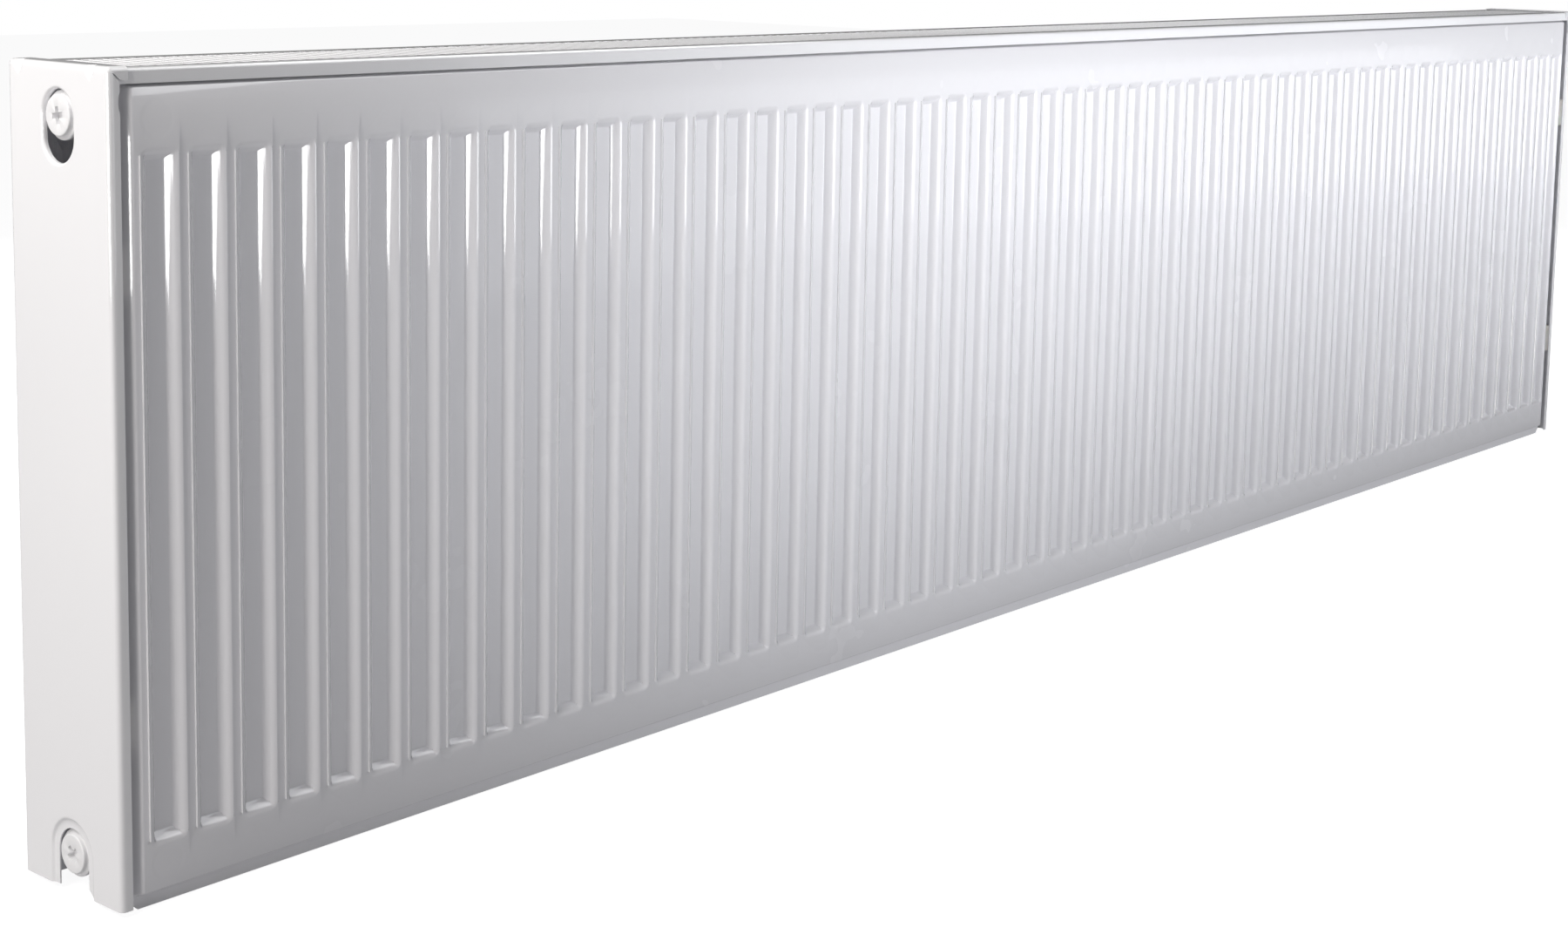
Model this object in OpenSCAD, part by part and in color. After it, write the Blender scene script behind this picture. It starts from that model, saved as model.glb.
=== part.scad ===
// Steel panel radiator for hot-water heating: two pressed water panels with a
// corrugated convector on each, four corner tees, a top grille and two side
// covers. Units are millimetres. X runs along the length, the front faces -Y,
// and the origin is the middle of the overall box, on its underside.

/* [Overall] */
// Length over both side covers
length = 2000; // [600:100:3000]
// Height of the pressed panels
height = 500; // [300:10:900]
// Depth over the two panel faces
depth = 100; // [95:1:160]

/* [Panels] */
// Thickness of a panel sheet
sheet_t = 1.2; // [1:0.05:1.5]
// Height of the pressed face above the welded seam
face_rise = 6; // [4.5:0.5:8]
// Width of the flat seam along the bottom edge
bottom_seam = 8; // [6:0.5:12]
// Width of the flat seam along the top edge
top_seam = 6; // [6:0.5:10]
// Width of the flat seam along each end
side_seam = 4.5; // [4:0.5:8]
// Run of the slope from the seam up to the face
seam_run = 2.5; // [1.5:0.5:4]
// Size of the cut across each corner of the seam
corner_cut = 6; // [3:1:8]
// Distance from a side cover's outer face to the panel's end
panel_inset = 10; // [9:0.5:16]

/* [Grooves] */
// Spacing of the vertical grooves
groove_pitch = 33.3; // [30:0.1:50]
// Width of a groove at the face
groove_w = 24; // [18:1:26]
// Width of a groove's flat floor
groove_floor = 9; // [6:1:12]
// Run of the slope at each end of a groove
groove_end_run = 8; // [5:1:12]
// Distance from the bottom edge to the grooves
groove_bottom = 38.5; // [38.5:0.5:60]
// Distance from the top edge to the grooves
groove_top = 44; // [40:1:60]

/* [Convectors] */
// Thickness of the convector sheet
fin_t = 0.5; // [0.3:0.1:0.8]
// Width of each foot that is welded on a water channel
fin_foot = 9; // [6:1:9]
// Gap between the two convectors' crests
fin_gap = 9; // [4:1:20]
// Distance from the bottom edge to the convector
fin_bottom = 55; // [45:1:80]
// Distance from the top edge to the convector
fin_top = 55; // [45:1:80]

/* [Connections] */
// Distance of the tappings from the top and bottom edges
tapping_inset = 27; // [26:1:40]
// Distance from a side cover's outer face to the tee's cross tube
tee_inset = 34; // [32:1:50]
// Distance from a side cover's outer face to the tapping's face
tapping_face = 7.6; // [7.4:0.1:9]
// Radius of the tee's cross tube
tee_tube_r = 11; // [10:0.5:12]
// Radius of the tee's socket
socket_r = 13.5; // [12:0.5:14]
// Radius of the tapping, a G 1/2 thread drawn plain
tapping_r = 9.3; // [9:0.1:9.5]
// Depth of the tapping
tapping_len = 16; // [12:1:18]
// Radius of the waterway behind the tapping
waterway_r = 7.5; // [6:0.5:8]

/* [Plugs] */
// Radius of a plug's flange
plug_flange_r = 14.8; // [14:0.1:15]
// Thickness of a plug's flange
plug_flange_t = 2.6; // [2:0.1:3]
// Radius of a plug's raised cap
plug_cap_r = 12.4; // [10:0.1:13]
// Height of a plug's raised cap
plug_cap_t = 3.2; // [2:0.1:3.3]
// Length of a plug's shank in the tapping
plug_shank = 10; // [8:1:12]
// Radial clearance of the shank in the tapping
thread_gap = 0.06; // [0.02:0.01:0.1]
// Thickness of the seal under a plug's flange
seal_t = 1.3; // [1:0.1:1.6]
// Length of each arm pair of the cross recess
cross_len = 10.4; // [8:0.2:12]
// Width of the cross recess's arms
cross_w = 3.3; // [2:0.1:4]
// Depth of the cross recess
cross_d = 2.4; // [1.5:0.1:2.8]

/* [Side covers] */
// Thickness of a cover's sheet
cover_t = 1; // [0.8:0.1:1.2]
// Outer radius of a cover's bends at front and back
cover_bend = 4; // [2:0.5:5]
// Outer radius of a cover's bend at the top
cover_top_bend = 3; // [2:0.5:4]
// Width of the flanges folded over the panel ends
return_w = 8.2; // [6:0.2:8.4]
// Width of the flange that lies over the grille
cover_flange_w = 14; // [12:1:20]
// Height of the tabs folded down over the grille's lips
cover_tab_h = 8; // [6:0.5:9]
// Width of the slot and of the notch around the plugs
cover_slot_w = 31; // [31:0.5:34]
// Height that a cover can lift before its slot meets the plug
cover_lift = 12.5; // [8:0.5:20]
// Depth of the collar drawn inwards around the slot
slot_collar = 2.5; // [1:0.5:3]
// Width of the sunk border around the notch
notch_border = 6; // [4:0.5:8]
// Depth of the sunk border around the notch
notch_sink = 1.6; // [1:0.1:2]

/* [Cover clips] */
// Height of each clip
cover_clip_h = 30; // [20:1:40]
// Distance of the clips' middles from the top and bottom edges
cover_clip_inset = 115; // [80:5:140]
// Thickness of the tongue behind the panel seam
clip_tongue_t = 1.3; // [1:0.1:2]

/* [Grille] */
// Thickness of the grille's sheet
grille_t = 1; // [0.8:0.1:1.2]
// Height of the lips at the front and back
grille_lip = 9; // [8:0.5:10]
// Distance from a side cover's outer face to the grille's end
grille_inset = 5; // [5:0.5:8]
// Spacing of the slots
slot_pitch = 10; // [8:0.5:15]
// Width of a slot
slot_w = 6.4; // [4:0.2:8]
// Width of the plain border at the front
grille_front = 15; // [10:1:25]
// Width of the plain border at the back
grille_back = 18; // [10:1:25]
// Length of the plain border at each end
grille_end = 20; // [15:1:30]

/* [Grille clips] */
// Width of each clip
grille_clip_w = 20; // [12:1:30]
// Thickness of a clip's wall
grille_clip_t = 1.5; // [1:0.1:2]
// Length of a clip's legs down the seam
grille_clip_leg = 4.5; // [3:0.5:5]
// Distance of the outer clips from the cover's outer face
grille_clip_inset = 150; // [60:10:200]

/* [Spacers and lugs] */
// Thickness of the spacers and of the hanging lugs
strap_t = 2; // [1.5:0.5:3]
// Width of a spacer along the radiator
spacer_w = 25; // [15:1:40]
// Height of a spacer's feet
spacer_foot = 20; // [12:1:24]
// Clear depth of a lug for the wall hook
lug_gap = 6; // [5:0.5:8]
// Clear width of a lug
lug_clear = 28; // [20:1:36]
// Width of each foot of a lug
lug_foot = 12; // [8:1:16]
// Height of a lug
lug_h = 26; // [20:1:26]
// Distance of the outer lugs from the cover's outer face
lug_inset = 200; // [100:10:250]

/* [Fits] */
// Gap between a side cover and the pieces it slides on
slide_gap = 0.3; // [0.2:0.1:0.5]
// Gap between a clip and the seam it grips
clip_gap = 0.1; // [0.05:0.05:0.2]

/* [Hidden] */
$fn = 48;
eps = 1; // how far a cutter runs past the face it cuts

// Panel planes and edges, measured from the radiator's middle plane
panel_half = length / 2 - panel_inset;
face_y = depth / 2;
weld_y = face_y - sheet_t - face_rise;
channel_y = weld_y - sheet_t - face_rise; // inward face of the inner sheet
raised_half = panel_half - side_seam;
groove_count = floor(length / groove_pitch) - 1;
groove_xs = [for (i = [0:groove_count - 1]) (i - (groove_count - 1) / 2) * groove_pitch];

// Tappings
upper_z = height - tapping_inset;
lower_z = tapping_inset;
tee_x = length / 2 - tee_inset;

// Grille and cover heights
grille_under = height + grille_clip_t;
grille_top = grille_under + grille_t;
cover_top = grille_top + slide_gap + cover_t;
cover_bottom = cover_top - height;
cover_half_y = face_y + cover_t;
slot_r = cover_slot_w / 2;
grille_half_y = face_y - slide_gap;
grille_half = length / 2 - grille_inset;

// The lugs make the back of the box; this shift brings its middle to the origin
mid_y = -(face_y + lug_gap + strap_t - cover_half_y) / 2;

module placed() { translate([0, mid_y, 0]) children(); }

// Draws a part made for the left end at the right end
module at_right() { mirror([1, 0, 0]) children(); }

// Extrusion of a Y-Z outline along the whole length
module along_x(size) {
    rotate([90, 0, 90]) linear_extrude(size, center = true) children();
}

// ---- Pressed sheets. Local frame: weld plane at y = 0, face towards +Y ----

// Distance by which a sloping wall's inside stands off its outside, at height y
function wall_inset(run, y) =
    (y - sheet_t) * run / face_rise
    + sheet_t * sqrt(run * run + face_rise * face_rise) / face_rise;

module seam_plate() {
    rotate([90, 0, 0]) mirror([0, 0, 1]) linear_extrude(sheet_t) polygon([
        [-panel_half, corner_cut], [-panel_half + corner_cut, 0],
        [panel_half - corner_cut, 0], [panel_half, corner_cut],
        [panel_half, height - corner_cut], [panel_half - corner_cut, height],
        [-panel_half + corner_cut, height], [-panel_half, height - corner_cut]
    ]);
}

// Block that stands from y0 to y2, with sides that slope from y1 upwards;
// low and high are its border insets at y1 and y2
module raised_block(y0, y1, y2, low, high) {
    bottom = bottom_seam;
    top = height - top_seam;
    intersection() {
        linear_extrude(height) polygon([
            [-raised_half + low, y0], [raised_half - low, y0],
            [raised_half - low, y1], [raised_half - high, y2],
            [-raised_half + high, y2], [-raised_half + low, y1]
        ]);
        along_x(length) polygon([
            [y0, bottom + low], [y1, bottom + low], [y2, bottom + high],
            [y2, top - high], [y1, top - low], [y0, top - low]
        ]);
    }
}

// Bars that fill all grooves between heights y0 and y1; low and high widen
// a bar on each side there, and extend it at its ends
module groove_bars(y0, y1, low, high, end_low, end_high) {
    floor_half = groove_floor / 2;
    z0 = groove_bottom + groove_end_run;
    z1 = height - groove_top - groove_end_run;
    intersection() {
        linear_extrude(height) for (x = groove_xs) polygon([
            [x - floor_half - low, y0], [x + floor_half + low, y0],
            [x + floor_half + high, y1], [x + floor_half + high, y1 + eps],
            [x - floor_half - high, y1 + eps], [x - floor_half - high, y1]
        ]);
        along_x(length) polygon([
            [y0, z0 - end_low], [y1, z0 - end_high], [y1 + eps, z0 - end_high],
            [y1 + eps, z1 + end_high], [y1, z1 + end_high], [y0, z1 + end_low]
        ]);
    }
}

// ports: true opens the waterways to the tees
module pressed_sheet(ports) {
    side_run = (groove_w - groove_floor) / 2;
    top_y = sheet_t + face_rise;
    difference() {
        union() {
            seam_plate();
            raised_block(0, sheet_t, top_y, 0, seam_run);
        }
        groove_bars(sheet_t, top_y, 0, side_run, 0, groove_end_run);
        difference() {
            raised_block(-eps, 0, face_rise,
                wall_inset(seam_run, 0), wall_inset(seam_run, face_rise));
            groove_bars(0, face_rise,
                wall_inset(side_run, 0), wall_inset(side_run, face_rise),
                wall_inset(groove_end_run, 0), wall_inset(groove_end_run, face_rise));
        }
        if (ports)
            for (x = [-tee_x, tee_x], z = [lower_z, upper_z])
                translate([x, -eps, z]) rotate([-90, 0, 0]) cylinder(r = waterway_r, h = top_y + 2 * eps);
    }
}

module front_panel_outer_sheet() {
    color("white") placed() translate([0, -weld_y, 0]) mirror([0, 1, 0]) pressed_sheet(false);
}

module front_panel_inner_sheet() {
    color("gainsboro") placed() translate([0, -weld_y, 0]) pressed_sheet(true);
}

module rear_panel_inner_sheet() {
    color("gainsboro") placed() translate([0, weld_y, 0]) mirror([0, 1, 0]) pressed_sheet(true);
}

module rear_panel_outer_sheet() {
    color("white") placed() translate([0, weld_y, 0]) pressed_sheet(false);
}

// ---- Convectors ----

// Square-wave sheet: a foot on each water channel, a crest between channels
module convector() {
    foot_y = channel_y - fin_t / 2;
    h = foot_y - (fin_gap / 2 + fin_t / 2);
    d = fin_t / 2;
    f = fin_foot / 2;
    feet = [for (i = [0:groove_count - 2]) (i - (groove_count - 2) / 2) * groove_pitch];
    end = feet[len(feet) - 1] + groove_pitch / 2;
    upper = concat(
        [[-end, h + d]],
        [for (c = feet) each [
            [c - f + d, h + d], [c - f + d, d], [c + f - d, d], [c + f - d, h + d]]],
        [[end, h + d]]);
    lower = concat(
        [[end, h - d]],
        [for (i = [len(feet) - 1:-1:0]) each [
            [feet[i] + f + d, h - d], [feet[i] + f + d, -d],
            [feet[i] - f - d, -d], [feet[i] - f - d, h - d]]],
        [[-end, h - d]]);
    translate([0, -foot_y, fin_bottom])
        linear_extrude(height - fin_top - fin_bottom) polygon(concat(upper, lower));
}

module front_convector() { color("whitesmoke") placed() convector(); }

module rear_convector() { color("whitesmoke") placed() mirror([0, 1, 0]) convector(); }

// ---- Corner tees and their plugs ----

module tee(z) {
    socket_len = tee_inset - tapping_face;
    translate([-tee_x, 0, z]) difference() {
        union() {
            rotate([90, 0, 0]) cylinder(r = tee_tube_r, h = 2 * channel_y, center = true);
            rotate([0, -90, 0]) cylinder(r = socket_r, h = socket_len);
        }
        rotate([90, 0, 0]) cylinder(r = waterway_r, h = 2 * channel_y + 2 * eps, center = true);
        rotate([0, -90, 0]) cylinder(r = waterway_r, h = socket_len);
        translate([-(socket_len - tapping_len), 0, 0])
            rotate([0, -90, 0]) cylinder(r = tapping_r, h = tapping_len + eps);
    }
}

module upper_left_tee() { color("silver") placed() tee(upper_z); }

module lower_left_tee() { color("silver") placed() tee(lower_z); }

module upper_right_tee() { color("silver") placed() at_right() tee(upper_z); }

module lower_right_tee() { color("silver") placed() at_right() tee(lower_z); }

// Moves a plug or seal, drawn along +Z from the tee's face, to a left tapping
module at_left_tapping(z) {
    placed() translate([-length / 2 + tapping_face, 0, z]) rotate([0, -90, 0]) children();
}

// turn is the angle of the cross recess
module plug(turn) {
    flange_z = clip_gap + seal_t + clip_gap;
    cap_z = flange_z + plug_flange_t;
    difference() {
        union() {
            translate([0, 0, -plug_shank]) cylinder(r = tapping_r - thread_gap, h = plug_shank + flange_z);
            translate([0, 0, flange_z]) cylinder(r = plug_flange_r, h = plug_flange_t);
            translate([0, 0, cap_z]) cylinder(r = plug_cap_r, h = plug_cap_t);
        }
        for (a = [turn, turn + 90])
            rotate([0, 0, a]) translate([-cross_len / 2, -cross_w / 2, cap_z + plug_cap_t - cross_d])
                cube([cross_len, cross_w, cross_d + eps]);
    }
}

module plug_seal() {
    translate([0, 0, clip_gap]) difference() {
        cylinder(r = socket_r, h = seal_t);
        translate([0, 0, -eps]) cylinder(r = tapping_r + slide_gap, h = seal_t + 2 * eps);
    }
}

module upper_left_plug() { color("white") at_left_tapping(upper_z) plug(8); }

module lower_left_plug() { color("white") at_left_tapping(lower_z) plug(38); }

module upper_left_plug_seal() { color("dimgray") at_left_tapping(upper_z) plug_seal(); }

module lower_left_plug_seal() { color("dimgray") at_left_tapping(lower_z) plug_seal(); }

// ---- Spacers between the panels, and hanging lugs on the back ----

// Two spacers split the length between the tees into three equal bays
module panel_spacers(z) {
    foot = spacer_foot / 2;
    for (x = [-tee_x / 3, tee_x / 3]) translate([x, 0, z]) along_x(spacer_w) polygon([
        [-channel_y, -foot], [-channel_y + strap_t, -foot], [-channel_y + strap_t, -strap_t / 2],
        [channel_y - strap_t, -strap_t / 2], [channel_y - strap_t, -foot], [channel_y, -foot],
        [channel_y, foot], [channel_y - strap_t, foot], [channel_y - strap_t, strap_t / 2],
        [-channel_y + strap_t, strap_t / 2], [-channel_y + strap_t, foot], [-channel_y, foot]
    ]);
}

module upper_panel_spacers() { color("lightgray") placed() panel_spacers(upper_z); }

module lower_panel_spacers() { color("lightgray") placed() panel_spacers(lower_z); }

// Hat-shaped strap that drops over the wall hook
module hanging_lugs(z) {
    clear = lug_clear / 2;
    reach = clear + lug_foot;
    for (x = [-length / 2 + lug_inset, 0, length / 2 - lug_inset])
        translate([x, face_y, z - lug_h / 2]) linear_extrude(lug_h) polygon([
            [-reach, 0], [-clear, 0], [-clear, lug_gap], [clear, lug_gap], [clear, 0], [reach, 0],
            [reach, strap_t], [clear + strap_t, strap_t], [clear + strap_t, lug_gap + strap_t],
            [-clear - strap_t, lug_gap + strap_t], [-clear - strap_t, strap_t], [-reach, strap_t]
        ]);
}

module upper_hanging_lugs() {
    header_low = height - groove_top;
    header_high = height - top_seam - seam_run;
    color("white") placed() hanging_lugs((header_low + header_high) / 2);
}

module lower_hanging_lugs() {
    header_low = bottom_seam + seam_run;
    color("white") placed() hanging_lugs((header_low + groove_bottom) / 2);
}

// ---- Top grille and its clips ----

module top_grille() {
    slot_len = 2 * grille_half_y - grille_front - grille_back;
    count = floor((2 * grille_half - 2 * grille_end) / slot_pitch);
    color("white") placed() difference() {
        translate([-grille_half, -grille_half_y, grille_top - grille_lip])
            cube([2 * grille_half, 2 * grille_half_y, grille_lip]);
        translate([-grille_half - eps, -grille_half_y + grille_t, grille_top - grille_lip - eps])
            cube([2 * (grille_half + eps), 2 * (grille_half_y - grille_t), grille_lip - grille_t + eps]);
        for (i = [0:count - 1])
            translate([(i - (count - 1) / 2) * slot_pitch - slot_w / 2, -grille_half_y + grille_front,
                grille_under - eps])
                cube([slot_w, slot_len, grille_t + 2 * eps]);
    }
}

// Saddles on the seam's top edge, under the grille
module grille_clips() {
    inner = sheet_t + clip_gap;
    outer = inner + grille_clip_t;
    end_x = length / 2 - grille_clip_inset;
    for (x = [-end_x, -end_x / 3, end_x / 3, end_x])
        translate([x, -weld_y, height]) along_x(grille_clip_w) polygon([
            [-outer, -grille_clip_leg], [-inner, -grille_clip_leg], [-inner, 0], [inner, 0],
            [inner, -grille_clip_leg], [outer, -grille_clip_leg],
            [outer, grille_clip_t], [-outer, grille_clip_t]
        ]);
}

module front_grille_clips() { color("ivory") placed() grille_clips(); }

module rear_grille_clips() { color("ivory") placed() mirror([0, 1, 0]) grille_clips(); }

// ---- Side covers. Local frame: outer face at x = 0, the radiator towards +X ----

// Solid that a cover's outside follows at inset 0, and its inside at cover_t
module cover_form(inset) {
    w = cover_half_y - inset;
    r = cover_bend - inset;
    rt = cover_top_bend - inset;
    inner_x = cover_flange_w + (inset > 0 ? eps : 0);
    low = cover_bottom - (inset > 0 ? eps : 0);
    top = cover_top - inset;
    intersection() {
        linear_extrude(cover_top + eps) union() {
            translate([inset + r, -w]) square([inner_x - inset - r, 2 * w]);
            translate([inset, -w + r]) square([inner_x - inset, 2 * (w - r)]);
            translate([inset + r, w - r]) circle(r);
            translate([inset + r, -w + r]) circle(r);
        }
        rotate([90, 0, 0]) linear_extrude(4 * w, center = true) union() {
            translate([inset, low]) square([inner_x - inset, top - rt - low]);
            translate([inset + rt, low]) square([inner_x - inset - rt, top - low]);
            translate([inset + rt, top - rt]) circle(rt);
        }
    }
}

// Upright slot outline, grown by grow, through the cover's outer face
module plug_slot(grow, x0, x1) {
    r = slot_r + grow;
    translate([x0, 0, upper_z]) rotate([0, 90, 0]) {
        cylinder(r = r, h = x1 - x0);
        translate([cover_lift, 0, 0]) cylinder(r = r, h = x1 - x0);
        translate([0, -r, 0]) cube([cover_lift, 2 * r, x1 - x0]);
    }
}

// Arched notch outline, open downwards
module plug_notch(grow, x0, x1) {
    r = slot_r + grow;
    translate([x0, 0, lower_z]) rotate([0, 90, 0]) {
        cylinder(r = r, h = x1 - x0);
        translate([0, -r, 0]) cube([lower_z, 2 * r, x1 - x0]);
    }
}

module side_cover() {
    sunk_x = notch_sink + cover_t;
    difference() {
        union() {
            difference() {
                cover_form(0);
                cover_form(cover_t);
                plug_notch(notch_border, -eps, cover_t + eps);
            }
            plug_slot(cover_t, cover_t / 2, cover_t + slot_collar);
            difference() {
                plug_notch(notch_border + cover_t, 0, sunk_x);
                plug_notch(notch_border, -eps, notch_sink);
            }
        }
        plug_slot(0, -eps, cover_t + slot_collar + eps);
        plug_notch(0, -eps, sunk_x + eps);
        translate([-eps, -cover_half_y, -eps])
            cube([sunk_x + 2 * eps, 2 * cover_half_y, cover_bottom + eps]);
        translate([return_w, -cover_half_y - eps, cover_bottom - eps])
            cube([cover_flange_w, 2 * (cover_half_y + eps), height - cover_tab_h + eps]);
    }
}

module at_left_end() { placed() translate([-length / 2, 0, 0]) children(); }

module left_side_cover() { color("white") at_left_end() side_cover(); }

module right_side_cover() { color("white") at_right() at_left_end() side_cover(); }

// Clips in a cover's corners; each tongue slips in behind the panel's end seam
module cover_clips() {
    x0 = cover_t + slide_gap;
    block_x = return_w - clip_gap;
    tongue_x = panel_inset + side_seam - slide_gap;
    seam_y = weld_y - sheet_t - clip_gap;
    block_y = face_y - cover_bend;
    for (z = [cover_clip_inset, height - cover_clip_inset], side = [-1, 1])
        translate([0, 0, z - cover_clip_h / 2]) scale_y(side) {
            translate([x0, seam_y - clip_tongue_t, 0])
                cube([block_x - x0, block_y - seam_y + clip_tongue_t, cover_clip_h]);
            translate([x0, seam_y - clip_tongue_t, 0]) cube([tongue_x - x0, clip_tongue_t, cover_clip_h]);
            translate([cover_bend, block_y - eps, 0])
                cube([block_x - cover_bend, cover_bend - slide_gap + eps, cover_clip_h]);
        }
}

// Draws its children on the front half for side -1 and on the back half for 1
module scale_y(side) {
    if (side < 0) mirror([0, 1, 0]) children();
    else children();
}

module left_cover_clips() { color("ivory") at_left_end() cover_clips(); }

module right_cover_clips() { color("ivory") at_right() at_left_end() cover_clips(); }

front_panel_outer_sheet();
front_panel_inner_sheet();
rear_panel_inner_sheet();
rear_panel_outer_sheet();
front_convector();
rear_convector();
upper_left_tee();
lower_left_tee();
upper_right_tee();
lower_right_tee();
upper_panel_spacers();
lower_panel_spacers();
upper_hanging_lugs();
lower_hanging_lugs();
top_grille();
front_grille_clips();
rear_grille_clips();
left_side_cover();
right_side_cover();
left_cover_clips();
right_cover_clips();
upper_left_plug();
lower_left_plug();
upper_left_plug_seal();
lower_left_plug_seal();
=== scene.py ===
import math

import bmesh
import bpy
from mathutils import Matrix, Vector
from mathutils.geometry import delaunay_2d_cdt


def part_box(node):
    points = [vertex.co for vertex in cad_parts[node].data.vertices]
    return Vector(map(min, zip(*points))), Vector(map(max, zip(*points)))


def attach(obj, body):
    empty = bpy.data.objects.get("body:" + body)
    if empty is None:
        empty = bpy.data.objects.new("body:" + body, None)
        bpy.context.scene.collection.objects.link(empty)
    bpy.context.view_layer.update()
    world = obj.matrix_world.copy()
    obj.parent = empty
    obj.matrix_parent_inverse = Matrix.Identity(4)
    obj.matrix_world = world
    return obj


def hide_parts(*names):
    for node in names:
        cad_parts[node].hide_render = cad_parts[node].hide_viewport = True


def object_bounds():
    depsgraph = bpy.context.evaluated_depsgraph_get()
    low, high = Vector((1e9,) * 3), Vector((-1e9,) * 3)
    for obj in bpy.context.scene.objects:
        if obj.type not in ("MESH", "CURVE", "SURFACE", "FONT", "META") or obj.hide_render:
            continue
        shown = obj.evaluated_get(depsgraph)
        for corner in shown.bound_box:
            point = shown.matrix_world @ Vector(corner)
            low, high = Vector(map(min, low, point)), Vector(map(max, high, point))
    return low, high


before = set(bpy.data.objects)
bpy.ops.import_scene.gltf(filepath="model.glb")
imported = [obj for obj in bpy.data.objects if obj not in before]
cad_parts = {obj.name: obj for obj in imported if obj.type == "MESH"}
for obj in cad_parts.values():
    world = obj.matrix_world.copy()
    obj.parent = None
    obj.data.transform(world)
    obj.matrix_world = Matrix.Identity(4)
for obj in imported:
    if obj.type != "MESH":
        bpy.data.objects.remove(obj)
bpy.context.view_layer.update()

# A steel panel radiator, seen from the front left. X runs along its length, the
# front faces -Y, and every size is in metres.

# ---- Places read from the frame ----

HALF_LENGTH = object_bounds()[1].x
FRONT_LOW, FRONT_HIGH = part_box("front_panel_outer_sheet")
REAR_LOW, REAR_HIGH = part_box("rear_panel_outer_sheet")
GRILLE_LOW, GRILLE_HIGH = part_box("top_grille")
COVER_LOW, COVER_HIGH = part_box("left_side_cover")
MIDDLE_Y = (FRONT_LOW.y + REAR_HIGH.y) / 2
PANEL_HEIGHT = FRONT_HIGH.z

# ---- Sizes of the pressed sheets ----

SHEET = 0.0012
PANEL_RISE = FRONT_HIGH.y - FRONT_LOW.y - SHEET
GROOVE_PITCH = 0.0333
GROOVE_COUNT = 59
GROOVE_FLOOR = 0.0060
GROOVE_WALL = 0.0074
EDGE_BEND = 0.0034
FLOOR_BEND = 0.0022
GROOVE_LOW = 0.0385
GROOVE_HIGH = PANEL_HEIGHT - 0.044
GROOVE_CORNER = 0.0048
RING_STEPS = 7
BOTTOM_SEAM = 0.008
TOP_SEAM = 0.006
SIDE_SEAM = 0.0008
SIDE_BEND = 0.0064
SEAM_BEND = 0.0032
CORNER_CUT = 0.006
WELD_DISTANCE = 0.00001
TAPPING_INSET = 0.027
TEE_INSET = 0.034

# ---- Sizes of the grille, the covers and the connections ----

GRILLE_SHEET = 0.001
GRILLE_BEND = 0.0022
SLOT_PITCH = 0.010
SLOT_COUNT = 195
SLOT_HALF = 0.0032
SLOT_FRONT = GRILLE_LOW.y + 0.015
SLOT_REAR = GRILLE_HIGH.y - 0.018
SLOT_CORNER = 0.0012
SLOT_DRAW = 0.0020
FIN_SHEET = 0.0005
FIN_FOOT = 0.0045
FIN_COUNT = 58
FIN_BEND = 0.0022
FIN_EDGE = 0.003
COVER_SHEET = 0.001
COVER_BEND = 0.0035
RETURN_WIDTH = 0.0082
COVER_FLANGE = 0.014
TAB_HEIGHT = 0.008
MITRE_STEP = 0.0066
FLANGE_STEPS = [0.0105, 0.0132]
SLIT_HALF = 0.0004
RELIEF_DROP = 0.0208
RELIEF_HALF = 0.006
RELIEF_DEPTH = 0.0012
PLUG_OPENING = 0.0155
SLOT_STRAIGHT = 0.0125
THREAD_PITCH = 0.001814
THREAD_DEPTH = 0.0009
BORE_LENGTH = 0.016
LUG_STRAP = 0.002
LUG_CLEAR = 0.014
LUG_REACH = 0.026
LUG_BEND = 0.0022
EASED_EDGE = 0.0003


# ---- Small helpers for meshes ----

def piece(name, verts, faces, material=None):
    """A new object at the origin with its place in its mesh."""
    mesh = bpy.data.meshes.new(name)
    mesh.from_pydata([tuple(v) for v in verts], [], faces)
    mesh.update()
    obj = bpy.data.objects.new(name, mesh)
    bpy.context.scene.collection.objects.link(obj)
    if material:
        mesh.materials.append(material)
    return obj


def grid_faces(columns, rows, base=0):
    """Quads over a grid of points, row by row."""
    faces = []
    for j in range(rows - 1):
        for i in range(columns - 1):
            a = base + j * columns + i
            faces.append((a, a + 1, a + columns + 1, a + columns))
    return faces


def spun_faces(count, segments, close=True):
    """Quads between neighbouring copies of a profile of count points, all round."""
    faces = []
    for k in range(segments):
        a, b = k * count, (k + 1) % segments * count
        for i in range(count if close else count - 1):
            j = (i + 1) % count
            faces.append((a + i, a + j, b + j, b + i))
    return faces


def discard(obj):
    bpy.data.objects.remove(obj)


def baked(obj):
    """Turns a piece's modifiers into plain mesh."""
    bpy.context.view_layer.update()
    graph = bpy.context.evaluated_depsgraph_get()
    mesh = bpy.data.meshes.new_from_object(obj.evaluated_get(graph))
    obj.modifiers.clear()
    obj.data = mesh
    mesh.name = obj.name
    return obj


def cleaned(obj, outward=True):
    """Merges doubled points and, on a closed shape, turns the faces outwards."""
    bm = bmesh.new()
    bm.from_mesh(obj.data)
    bmesh.ops.remove_doubles(bm, verts=bm.verts, dist=1e-6)
    bmesh.ops.dissolve_degenerate(bm, edges=bm.edges, dist=1e-7)
    if outward:
        bmesh.ops.recalc_face_normals(bm, faces=bm.faces)
    bm.to_mesh(obj.data)
    bm.free()
    return obj


def smoothed(obj, degrees=35):
    """Shades a piece smooth, with edges sharper than the angle kept crisp."""
    bm = bmesh.new()
    bm.from_mesh(obj.data)
    limit = math.radians(degrees)
    for face in bm.faces:
        face.smooth = True
    for edge in bm.edges:
        edge.smooth = edge.calc_face_angle(0.0) < limit
    bm.to_mesh(obj.data)
    bm.free()
    return obj


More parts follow.
